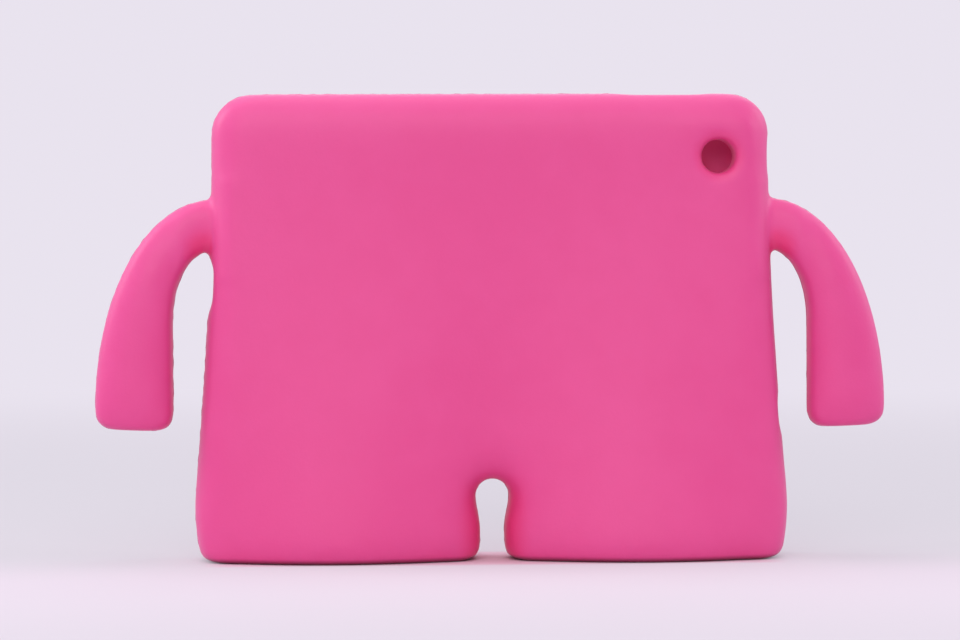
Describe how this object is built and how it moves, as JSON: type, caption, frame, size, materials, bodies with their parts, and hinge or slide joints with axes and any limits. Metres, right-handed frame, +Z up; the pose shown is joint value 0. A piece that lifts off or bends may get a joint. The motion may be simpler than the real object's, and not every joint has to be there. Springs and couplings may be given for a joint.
{
  "type": "kids tablet case",
  "caption": "One-piece foam case that holds a small tablet upright on two broad feet, with two bent arms as handles, a window for the screen, a camera hole and openings for plugs and buttons.",
  "frame": {"origin": "on the ground, at the bottom centre of the case's bounding box, between the feet", "axes": "+X across the case, towards the arm that is nearer the camera hole, +Y out of the screen window, away from the back of the case, +Z up"},
  "size_m": [0.316, 0.054, 0.1856],
  "materials": {
    "foam": "matte moulded EVA foam, fine satin skin, bright pink"
  },
  "bodies": {
    "root": {"foam_case": "foam"}
  },
  "joints": []
}
